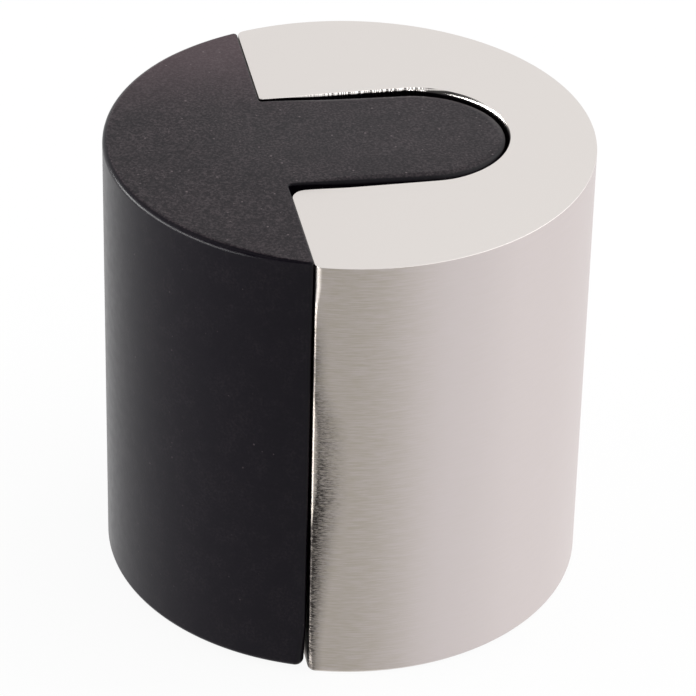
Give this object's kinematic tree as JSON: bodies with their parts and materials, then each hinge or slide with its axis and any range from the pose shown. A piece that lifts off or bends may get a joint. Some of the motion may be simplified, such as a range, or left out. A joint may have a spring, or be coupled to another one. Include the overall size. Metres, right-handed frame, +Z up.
{
  "type": "floor door stop",
  "caption": "Cylindrical floor door stop: a satin metal body with a round-ended slot, and a black rubber buffer whose tongue fills the slot and hides the fixing screw.",
  "frame": {"origin": "on the cylinder's axis at floor level", "axes": "+Z up, +X from the rubber buffer towards the metal body"},
  "size_m": [0.045, 0.045, 0.0444],
  "materials": {
    "satin_nickel": "satin, brushed round the side, plain on the top",
    "black_rubber": "matt moulded, faintly mottled"
  },
  "bodies": {
    "root": {"metal_body": "satin_nickel", "rubber_buffer": "black_rubber"}
  },
  "joints": []
}
